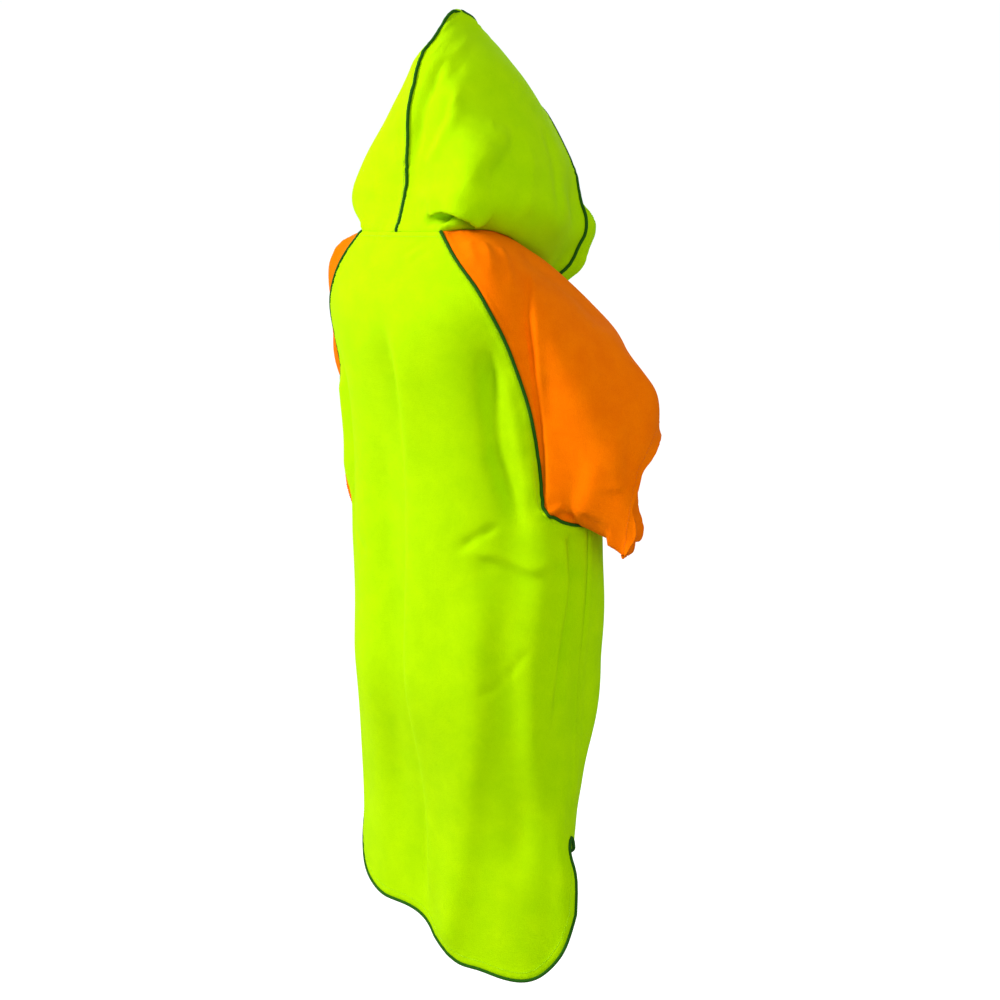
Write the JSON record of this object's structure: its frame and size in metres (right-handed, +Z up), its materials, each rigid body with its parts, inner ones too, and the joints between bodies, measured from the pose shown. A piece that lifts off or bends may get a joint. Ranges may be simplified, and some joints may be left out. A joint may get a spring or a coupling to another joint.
{
  "type": "hooded bath poncho",
  "caption": "Hooded towelling poncho, worn and hollow: raglan short sleeves, peaked hood with a front band, piped seams and a rounded shirt-tail hem.",
  "frame": {"origin": "the middle of the neck opening, level with the back neck seam, where the wearer's shoulders carry the cloth", "axes": "+Z up along the body to the hood's peak, -Y the way the wearer faces, -X the wearer's right"},
  "size_m": [0.6266, 0.3052, 1.3511],
  "materials": {
    "body_towelling": "lime green towelling, short matte nap",
    "sleeve_towelling": "orange towelling, short matte nap",
    "piping_cotton": "dark green cotton piping"
  },
  "bodies": {
    "root": {"back_panel": "body_towelling", "front_panel": "body_towelling", "sleeve_right": "sleeve_towelling", "sleeve_left": "sleeve_towelling", "hood_right": "body_towelling", "hood_left": "body_towelling", "hood_band": "body_towelling", "piping_hood_seam": "piping_cotton", "piping_hood_brim": "piping_cotton", "piping_raglan_back_right": "piping_cotton", "piping_raglan_back_left": "piping_cotton", "piping_raglan_front_right": "piping_cotton", "piping_raglan_front_left": "piping_cotton", "piping_hem_back": "piping_cotton", "piping_hem_front": "piping_cotton"}
  },
  "joints": []
}
